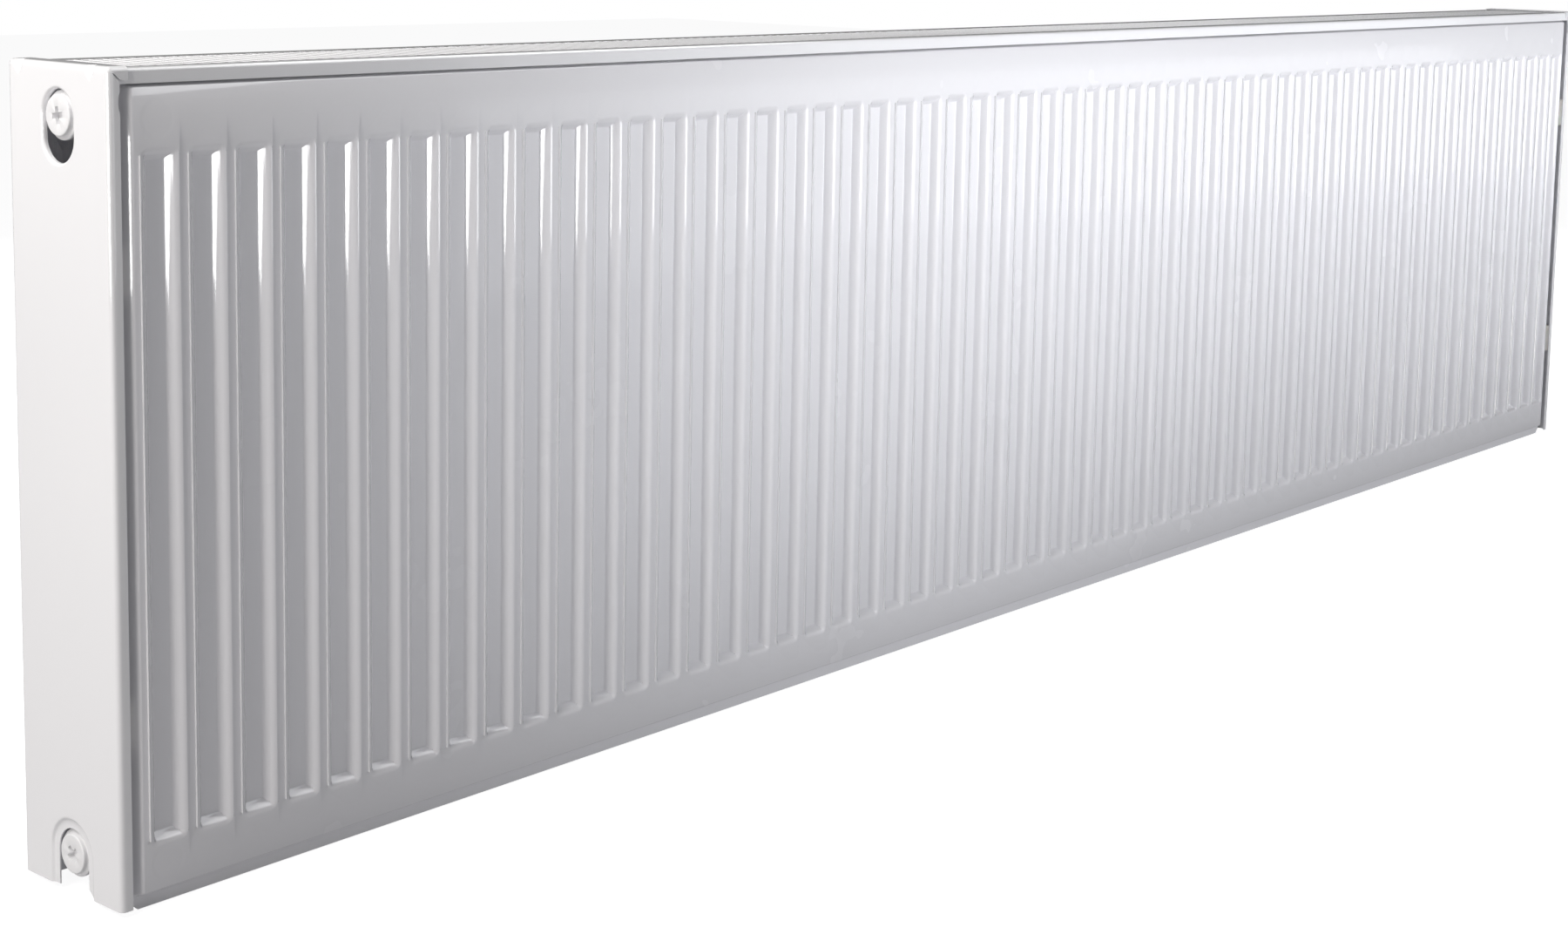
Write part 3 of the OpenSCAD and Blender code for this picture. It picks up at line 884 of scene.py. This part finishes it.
def gusseted(u, y, z):
    """Pulls the top bend in past its chord where a gusset is stamped."""
    point = rounded_cover(u, y, z)
    drop = COVER_HIGH.z - z
    if drop > GUSSET_DROP or u > GUSSET_IN:
        return point
    run = GUSSET_DROP + GUSSET_IN
    share = (GUSSET_DROP - drop + u) / run
    start = Vector((0.0, y, COVER_HIGH.z - GUSSET_DROP))
    end = Vector((GUSSET_IN, y, COVER_HIGH.z))
    depth = 1 - abs(2 * share - 1)
    for gusset in GUSSETS:
        width = GUSSET_HALF * min(1.0, 0.25 + depth)
        pull = max(0.0, 1 - abs(y - gusset) / width)
        dent = start.lerp(end, share) + Vector((GUSSET_DENT, 0.0, -GUSSET_DENT)) * depth
        point = point.lerp(dent, pull)
    return point


def slot_outline(grow):
    """The upright slot round the upper plug, as (y, z) points."""
    radius = PLUG_OPENING + grow
    points = []
    for centre, first in ((UPPER_Z, 0), (UPPER_Z - SLOT_STRAIGHT, 20)):
        for k in range(first, first + 21):
            angle = math.pi * k / 20
            points.append((MIDDLE_Y + radius * math.cos(angle), centre + radius * math.sin(angle)))
    return points + points[:1]


def notch_outline(grow):
    """The arched notch round the lower plug, from its front foot to its rear foot."""
    radius = PLUG_OPENING + grow
    foot = COVER_LOW.z + max(0.0, FOOT_CHAMFER - grow)
    points = [(MIDDLE_Y - radius, foot)]
    for k in range(25):
        angle = math.pi * (1 - k / 24)
        points.append((MIDDLE_Y + radius * math.cos(angle), LOWER_Z + radius * math.sin(angle)))
    points.append((MIDDLE_Y + radius, COVER_LOW.z))
    return points


def in_slot(y, z):
    near = min(max(z, UPPER_Z - SLOT_STRAIGHT), UPPER_Z)
    return math.hypot(y - MIDDLE_Y, z - near) < PLUG_OPENING + SLOT_RINGS[0][0] * 0.98


def in_notch(y, z):
    return math.hypot(y - MIDDLE_Y, max(z - LOWER_Z, 0.0)) < PLUG_OPENING + NOTCH_RINGS[0][0] * 0.98


def return_relief(z):
    """How far the returns' edges are cut back in the shallow arc below the tabs."""
    away = (z - COVER_HIGH.z + RELIEF_DROP) / RELIEF_HALF
    return RELIEF_DEPTH * max(0.0, 1 - away ** 2)


class CoverSheet:
    """Collects the points and faces of one cover's outer surface."""

    def __init__(self):
        self.index = {}
        self.points = []
        self.faces = []

    def at(self, u, y, z, tag="", sink=0.0, shift=(0.0, 0.0)):
        key = (round(u * 1e7), round(y * 1e7), round(z * 1e7), round(sink * 1e7), tag)
        if key not in self.index:
            point = gusseted(u, y, z)
            self.index[key] = len(self.points)
            self.points.append(point + Vector((sink + shift[0], 0.0, shift[1])))
        return self.index[key]

    def face(self, *corners):
        if len(set(corners)) > 2:
            self.faces.append(corners)

    def grid(self, rows):
        """Quads between neighbouring rows of point indices."""
        for low, high in zip(rows, rows[1:]):
            for i in range(len(low) - 1):
                self.face(low[i], low[i + 1], high[i + 1], high[i])


def cover_stations():
    """The y and z places of the cover's rows and columns."""
    guard = GUSSET_IN
    front = [COVER_LOW.y + e for e in BEND_STEPS + [guard]]
    rear = [COVER_HIGH.y - e for e in [guard] + BEND_STEPS[::-1]]
    inner = [MIDDLE_Y]
    for gusset in GUSSETS:
        inner += [gusset + GUSSET_HALF * k / 4 for k in range(-5, 6)]
    drops = BEND_STEPS + [guard, MITRE_STEP, GUSSET_DROP, 0.0095]
    top = [COVER_HIGH.z - d for d in reversed(drops)]
    relief = [COVER_HIGH.z - RELIEF_DROP + 0.0015 * k for k in range(-4, 5)]
    low = [COVER_LOW.z, 0.06, 0.18, 0.30, 0.42, 0.465] + relief
    return front, sorted(inner), rear, low, top


def cover_plate(sheet, front, inner, rear, low, top):
    """The flat outer face with its slot, its notch and the bends round it."""
    side_rows = low + top[:1]
    sheet.grid([[sheet.at(0, y, z) for y in front] for z in side_rows])
    sheet.grid([[sheet.at(0, y, z) for y in rear] for z in side_rows])
    across = front + inner + rear
    sheet.grid([[sheet.at(0, y, z) for y in across] for z in top])

    notch = notch_outline(NOTCH_RINGS[0][0])
    border = [(front[-1], z) for z in reversed(side_rows)]
    border += notch
    border += [(rear[0], z) for z in side_rows]
    border += [(y, top[0]) for y in reversed(inner)]
    slot = slot_outline(SLOT_RINGS[0][0])
    points = border + slot[:-1]
    n, m = len(border), len(slot) - 1
    edges = [(i, (i + 1) % n) for i in range(n)]
    edges += [(n + i, n + (i + 1) % m) for i in range(m)]
    filled = delaunay_2d_cdt([Vector(p) for p in points], edges, [], 1, 1e-7)
    for triangle in filled[2]:
        corners = [points[filled[3][v][0]] for v in triangle]
        y = sum(c[0] for c in corners) / 3
        z = sum(c[1] for c in corners) / 3
        if not in_slot(y, z) and not in_notch(y, z):
            sheet.face(*[sheet.at(0, *c) for c in corners])
    sheet.grid([[sheet.at(0, *p, sink=d) for p in slot_outline(g)] for g, d in SLOT_RINGS])
    sheet.grid([[sheet.at(0, *p, sink=d) for p in notch_outline(g)] for g, d in NOTCH_RINGS])


def cover_return(sheet, y, low, top):
    """One return flange, with the tab beside it across a mitred slit."""
    us = BEND_STEPS + [GUSSET_IN, MITRE_STEP, RETURN_WIDTH]
    us_tab = us + FLANGE_STEPS + [COVER_FLANGE]
    drops = BEND_STEPS + [GUSSET_IN, MITRE_STEP, TAB_HEIGHT]
    slit_start, slit_end = len(BEND_STEPS) - 1, len(us) - 1

    def corner(i, j, part):
        z = COVER_HIGH.z - drops[j]
        on_slit = i == j and slit_start < i <= slit_end
        move = SLIT_HALF if part == "tab" else -SLIT_HALF
        tag = part if on_slit else ""
        return sheet.at(us_tab[i], y, z, tag, shift=(move, move) if on_slit else (0.0, 0.0))

    for j in range(slit_end):
        for i in range(len(us_tab) - 1):
            if i == j and i >= slit_start:
                sheet.face(corner(i, j, "return"), corner(i, j + 1, "return"), corner(i + 1, j + 1, "return"))
                sheet.face(corner(i, j, "tab"), corner(i + 1, j + 1, "tab"), corner(i + 1, j, "tab"))
                continue
            part = "tab" if i > j else "return"
            ring = [(i, j), (i + 1, j), (i + 1, j + 1), (i, j + 1)]
            sheet.face(*[corner(a, b, part) for a, b in ring])

    rows = low + top[:1]
    lines = []
    for z in rows:
        line = [sheet.at(u, y, z) for u in us[:-1]]
        line.append(sheet.at(us[-1] - return_relief(z), y, z))
        lines.append(line)
    lines.append([corner(i, slit_end, "return") for i in range(len(us))])
    sheet.grid(lines)


def cover_flange(sheet, across):
    """The flange that lies over the end of the grille."""
    us = BEND_STEPS + [GUSSET_IN, MITRE_STEP, RETURN_WIDTH] + FLANGE_STEPS + [COVER_FLANGE]
    sheet.grid([[sheet.at(u, y, COVER_HIGH.z) for y in across] for u in us])


def side_covers():
    sheet = CoverSheet()
    front, inner, rear, low, top = cover_stations()
    cover_plate(sheet, front, inner, rear, low, top)
    cover_return(sheet, COVER_LOW.y, low, top)
    cover_return(sheet, COVER_HIGH.y, low, top)
    cover_flange(sheet, front + inner + rear)
    verts = [(p.x - HALF_LENGTH, p.y, p.z) for p in sheet.points]
    left = piece("left_cover_sheet", verts, sheet.faces, COVER_PAINT)
    cleaned(left)
    if sum(p.normal.x * p.area for p in left.data.polygons) > 0:
        left.data.flip_normals()
    thickened(left, COVER_SHEET)
    smoothed(left, 50)
    right = mirrored(left, "right_cover_sheet", 0, 0.0)
    finished(left, "left_cover", "cover_enamel", "left_side_cover")
    finished(right, "right_cover", "cover_enamel", "right_side_cover")


# ---- Plugs, seals and tees ----

PLUG_FLANGE_R = 0.0148
PLUG_CAP_R = 0.0124
PLUG_CAP_T = 0.0032
PLUG_FLANGE_T = 0.0026
CROSS_LENGTH = 0.0104
CROSS_WIDTH = 0.0033
CROSS_DEPTH = 0.0044
TAPPING_R = 0.0093
SOCKET_R = 0.0135
TEE_TUBE_R = 0.011
WATERWAY_R = 0.0075


def cross_cutter(centre, depth, turn):
    """The cross-shaped recess of a plug as a solid to cut away."""
    long, thin = CROSS_LENGTH / 2, CROSS_WIDTH / 2
    outline = [
        (thin, thin), (long, thin), (long, -thin), (thin, -thin), (thin, -long), (-thin, -long),
        (-thin, -thin), (-long, -thin), (-long, thin), (-thin, thin), (-thin, long), (thin, long),
    ]
    verts = []
    for x in (centre.x - 0.002, centre.x + depth):
        for a, b in outline:
            y = a * math.sin(turn) + b * math.cos(turn)
            z = a * math.cos(turn) - b * math.sin(turn)
            verts.append((x, centre.y + y, centre.z + z))
    n = len(outline)
    faces = [tuple(range(n)), tuple(range(2 * n - 1, n - 1, -1))]
    faces += [(i, (i + 1) % n, n + (i + 1) % n, n + i) for i in range(n)]
    return cleaned(piece("cutter", verts, faces))


def blanking_plug(node, body, turn):
    """A moulded plug: flange, cap with a cross recess, and plain shank."""
    low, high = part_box(node)
    centre = Vector((low.x, (low.y + high.y) / 2, (low.z + high.z) / 2))
    cap, flange = PLUG_CAP_T, PLUG_CAP_T + PLUG_FLANGE_T
    length = high.x - low.x
    shank = TAPPING_R - 0.00006
    corners = [
        (0.0, 0.0), (PLUG_CAP_R - 0.0002, 0.0), (PLUG_CAP_R, cap - 0.0002), (PLUG_FLANGE_R, cap),
        (PLUG_FLANGE_R, flange), (shank, flange), (shank, length), (0.0, length),
    ]
    line = rounded_path(corners, [0.0009, 0.0012, 0.0008, 0.0003, 0.0002, 0.0008], 4)
    solid = turned(node + "_body", [tuple(p) for p in line], centre, 1, 72, PLUG_PLASTIC, close=False)
    cleaned(solid)
    cutter = cross_cutter(centre, CROSS_DEPTH, turn)
    cut = solid.modifiers.new("recess", "BOOLEAN")
    cut.operation = "DIFFERENCE"
    cut.object = cutter
    baked(solid)
    discard(cutter)
    bevelled(solid, 0.00025, 2, 55)
    solid.data.materials.clear()
    solid.data.materials.append(PLUG_PLASTIC)
    smoothed(solid, 40)
    finished(solid, body, "plug_plastic", node)


def plug_seal(node, body):
    low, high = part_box(node)
    centre = Vector((low.x, (low.y + high.y) / 2, (low.z + high.z) / 2))
    width = high.x - low.x
    inner, outer = TAPPING_R + 0.0003, SOCKET_R
    corners = [
        (inner, width / 2), (inner, 0.0), (outer, 0.0), (outer, width), (inner, width), (inner, width / 2),
    ]
    line = rounded_path(corners, 0.00045, 4)[:-1]
    ring = turned(node + "_ring", [tuple(p) for p in line], centre, 1, 64, SEAL_RUBBER)
    smoothed(cleaned(ring), 60)
    finished(ring, body, "seal_rubber", node)


def threaded_bore(radius, depth, length):
    """A function that gives the wall's radius at an angle and a depth."""
    def wall(angle, x):
        turn = (x / THREAD_PITCH - angle / (2 * math.pi)) % 1.0
        tooth = 1 - abs(2 * turn - 1)
        fade = min(1.0, x / 0.001, max(0.0, (length - x) / 0.002))
        return radius + depth * tooth * fade
    return wall


def tee(node, side):
    """A corner tee: cross tube between the panels and a threaded socket."""
    low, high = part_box(node)
    middle_z = (low.z + high.z) / 2
    middle_y = (low.y + high.y) / 2
    face = low.x if side < 0 else high.x
    inward = -side
    tube_x = side * (HALF_LENGTH - TEE_INSET)
    socket_len = abs(face - tube_x)
    segments = 64
    bore_len = BORE_LENGTH
    wall = threaded_bore(TAPPING_R, THREAD_DEPTH, bore_len)
    verts = []
    rows = [(SOCKET_R - 0.001, socket_len), (SOCKET_R, socket_len - 0.001)]
    rows += [(SOCKET_R, 0.0007), (SOCKET_R - 0.0002, 0.0002), (SOCKET_R - 0.0007, 0.0)]
    rows += [(TAPPING_R + 0.0014, 0.0)]
    bore = [bore_len * k / 44 for k in range(1, 45)]
    ends = [(WATERWAY_R, bore_len), (WATERWAY_R, socket_len)]
    for k in range(segments):
        angle = 2 * math.pi * k / segments
        ring = rows + [(wall(angle, x) + max(0.0, 0.001 - x), x) for x in bore] + ends
        for radius, x in ring:
            verts.append((face + inward * x, middle_y + radius * math.cos(angle),
                          middle_z + radius * math.sin(angle)))
    faces = spun_faces(len(rows) + len(bore) + len(ends), segments)
    socket = cleaned(piece(node + "_socket", verts, faces, TEE_PAINT))

    bead = 0.0016
    half = (high.y - low.y) / 2
    line = [
        (WATERWAY_R, -half), (TEE_TUBE_R + bead, -half), (TEE_TUBE_R + bead * 0.7, -half + bead * 0.7),
        (TEE_TUBE_R, -half + bead), (TEE_TUBE_R, half - bead), (TEE_TUBE_R + bead * 0.7, half - bead * 0.7),
        (TEE_TUBE_R + bead, half), (WATERWAY_R, half),
    ]
    verts = []
    for k in range(segments):
        angle = 2 * math.pi * k / segments
        for radius, y in line:
            verts.append((tube_x + radius * math.cos(angle), middle_y + y,
                          middle_z + radius * math.sin(angle)))
    tube = cleaned(piece(node + "_tube", verts, spun_faces(len(line), segments), TEE_PAINT))
    both = joined(node + "_body", [socket, tube])
    smoothed(both, 40)
    finished(both, "radiator", "tee_enamel", node)


# ---- Hanging lugs ----

def hanging_lugs(node):
    """Hat-shaped straps with rounded bends, spot-welded on the rear panel."""
    low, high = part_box(node)
    strap, clear, reach = LUG_STRAP, LUG_CLEAR, LUG_REACH
    back, out = low.y, high.y
    mid = strap / 2
    corners = [
        (-reach, back + mid), (-clear - mid, back + mid), (-clear - mid, out - mid),
        (clear + mid, out - mid), (clear + mid, back + mid), (reach, back + mid),
    ]
    line = rounded_path(corners, LUG_BEND, 5)
    parts = []
    for x in (low.x + reach, 0.0, high.x - reach):
        verts = [(x + p.x, p.y, z) for z in (low.z, high.z) for p in line]
        part = piece("lug", verts, grid_faces(len(line), 2), PANEL_PAINT)
        thickened(part, strap, 0.0)
        cleaned(part)
        bevelled(part, 0.0004, 2, 60)
        parts.append(part)
        for foot in (-reach + 0.005, reach - 0.005):
            for z in (low.z + 0.007, high.z - 0.007):
                parts.append(spot_weld(Vector((x + foot, back + strap, z))))
    lugs = joined(node + "_straps", parts)
    smoothed(lugs, 40)
    finished(lugs, "radiator", "white_enamel", node)


def spot_weld(centre):
    """A shallow ring left by a welding electrode."""
    profile = [
        (0.0, -0.0001), (0.0016, -0.0001), (0.0022, 0.00025),
        (0.0028, 0.0003), (0.0033, 0.0), (0.0033, -0.0006),
    ]
    verts = []
    segments = 20
    for k in range(segments):
        angle = 2 * math.pi * k / segments
        for radius, y in profile:
            verts.append((centre.x + radius * math.cos(angle), centre.y + y,
                          centre.z + radius * math.sin(angle)))
    faces = spun_faces(len(profile), segments, close=False)
    return cleaned(piece("weld", verts, faces, PANEL_PAINT))


# ---- Clips and spacers: CAD shapes with their edges eased ----

def eased(node, body, slot, material, width):
    """A copy of a CAD node with flat faces merged and its edges rounded."""
    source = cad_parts[node]
    mesh = source.data.copy()
    obj = bpy.data.objects.new(node + "_eased", mesh)
    bpy.context.scene.collection.objects.link(obj)
    mesh.materials.clear()
    mesh.materials.append(material)
    bm = bmesh.new()
    bm.from_mesh(mesh)
    bmesh.ops.remove_doubles(bm, verts=bm.verts, dist=1e-6)
    bmesh.ops.dissolve_limit(bm, angle_limit=math.radians(1), verts=bm.verts, edges=bm.edges)
    for face in bm.faces:
        face.material_index = 0
    bm.to_mesh(mesh)
    bm.free()
    bevelled(obj, width, 2, 35)
    smoothed(obj, 40)
    return finished(obj, body, slot, node)


def repaint(node, material):
    """A CAD node whose shape is right keeps its mesh and gets a finish."""
    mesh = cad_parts[node].data
    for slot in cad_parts[node].material_slots:
        slot.material = material
    if not mesh.materials:
        mesh.materials.append(material)


pressed_panels()
row_tree, row_keys = top_grille()
convectors(row_tree, row_keys)
side_covers()
blanking_plug("upper_left_plug", "upper_plug", math.radians(8))
blanking_plug("lower_left_plug", "lower_plug", math.radians(38))
plug_seal("upper_left_plug_seal", "upper_seal")
plug_seal("lower_left_plug_seal", "lower_seal")
for height in ("upper", "lower"):
    tee(height + "_left_tee", -1)
    tee(height + "_right_tee", 1)
    hanging_lugs(height + "_hanging_lugs")
    eased(height + "_panel_spacers", "radiator", "tee_enamel", TEE_PAINT, EASED_EDGE)
for place in ("front", "rear"):
    eased(place + "_grille_clips", "radiator", "nylon", NYLON, EASED_EDGE)
    repaint(place + "_panel_inner_sheet", PANEL_PAINT)
eased("left_cover_clips", "left_clips", "nylon", NYLON, EASED_EDGE)
eased("right_cover_clips", "right_clips", "nylon", NYLON, EASED_EDGE)


# ---- Floor and light ----

FLOOR_GLOW = 0.9
FLOOR_BOUNCE = 0.16
ROOM_GLOW = 0.17
WHITE = (1.0, 1.0, 1.0)
WARM = (1.0, 0.98, 0.95)
AMBER = (1.0, 0.95, 0.89)
COOL = (0.97, 0.98, 1.0)
FLOOR_HALF = 9.0


def floor():
    """A pale studio floor, seen nearly white with only a soft shadow."""
    size = FLOOR_HALF
    corners = [(-size, -size, 0), (size, -size, 0), (size, size, 0), (-size, size, 0)]
    material, graph, shader, _ = new_material("floor")
    shader.inputs["Base Color"].default_value = (0.32, 0.32, 0.33, 1.0)
    shader.inputs["Roughness"].default_value = 0.9
    shader.inputs["Specular IOR Level"].default_value = 0.0
    shader.inputs["Emission Color"].default_value = (1.0, 1.0, 1.0, 1.0)
    seen = graph.add("ShaderNodeLightPath").outputs["Is Camera Ray"]
    glow = graph.math("MULTIPLY_ADD", seen, FLOOR_GLOW - FLOOR_BOUNCE, FLOOR_BOUNCE)
    graph.tree.links.new(glow, shader.inputs["Emission Strength"])
    piece("floor", corners, [(0, 1, 2, 3)], material)


def softbox(name, place, target, width, height, power, colour=WHITE, spread=180, lights=True, shows=True):
    """A rectangular light; lights off leaves only reflections, shows off leaves none."""
    data = bpy.data.lights.new(name, "AREA")
    data.shape = "RECTANGLE"
    data.size = width
    data.size_y = height
    data.energy = power
    data.color = colour
    data.spread = math.radians(spread)
    obj = bpy.data.objects.new(name, data)
    obj.location = place
    aim = Vector(target) - Vector(place)
    obj.rotation_euler = aim.to_track_quat("-Z", "Y").to_euler()
    obj.visible_camera = False
    obj.visible_diffuse = lights
    obj.visible_glossy = shows
    bpy.context.scene.collection.objects.link(obj)


def surround():
    """White behind the object, and a dim room for what the paint reflects."""
    world = bpy.data.worlds.new("studio")
    world.use_nodes = True
    bpy.context.scene.world = world
    g = Graph(world.node_tree)
    world.node_tree.nodes.clear()
    seen = g.add("ShaderNodeLightPath").outputs["Is Camera Ray"]
    white = (*WHITE, 1.0)
    room = g.add("ShaderNodeBackground", {"Color": white, "Strength": ROOM_GLOW}).outputs[0]
    sheet = g.add("ShaderNodeBackground", {"Color": white, "Strength": 1.0}).outputs[0]
    both = g.add("ShaderNodeMixShader", {0: seen, 1: room, 2: sheet}).outputs[0]
    g.add("ShaderNodeOutputWorld", {"Surface": both})


floor()
surround()
softbox("left_box", (-1.75, 0.05, 1.45), (-1.0, 0.0, 0.45), 0.8, 0.8, 21, WARM)
softbox("side_box", (-2.70, -0.42, 0.45), (-1.0, -0.05, 0.25), 0.5, 0.6, 8, AMBER)
softbox("streak_box", (-2.70, -1.02, 0.30), (-0.6, -0.05, 0.30), 0.7, 0.45, 17, lights=False)
softbox("crown_box", (0.3, -0.35, 1.7), (-0.6, -0.05, 0.05), 3.0, 0.8, 26, COOL, lights=False)
softbox("front_box", (1.05, -1.2, 0.50), (1.05, -0.05, 0.50), 3.3, 0.6, 8.4, COOL, spread=64)
softbox("sheen_box", (1.7, -1.2, 0.46), (1.7, -0.05, 0.44), 2.8, 0.72, 4, COOL, lights=False)
softbox("back_box", (0.0, 2.4, 1.0), (0.0, 0.0, 0.25), 3.0, 1.0, 22, shows=False)
softbox("right_box", (2.7, 0.75, 0.9), (1.0, 0.0, 0.25), 0.8, 0.8, 9, shows=False)
softbox("top_box", (0.4, 0.5, 2.0), (0.4, 0.0, 0.5), 3.0, 0.8, 3)
bpy.context.scene.view_settings.view_transform = "Standard"
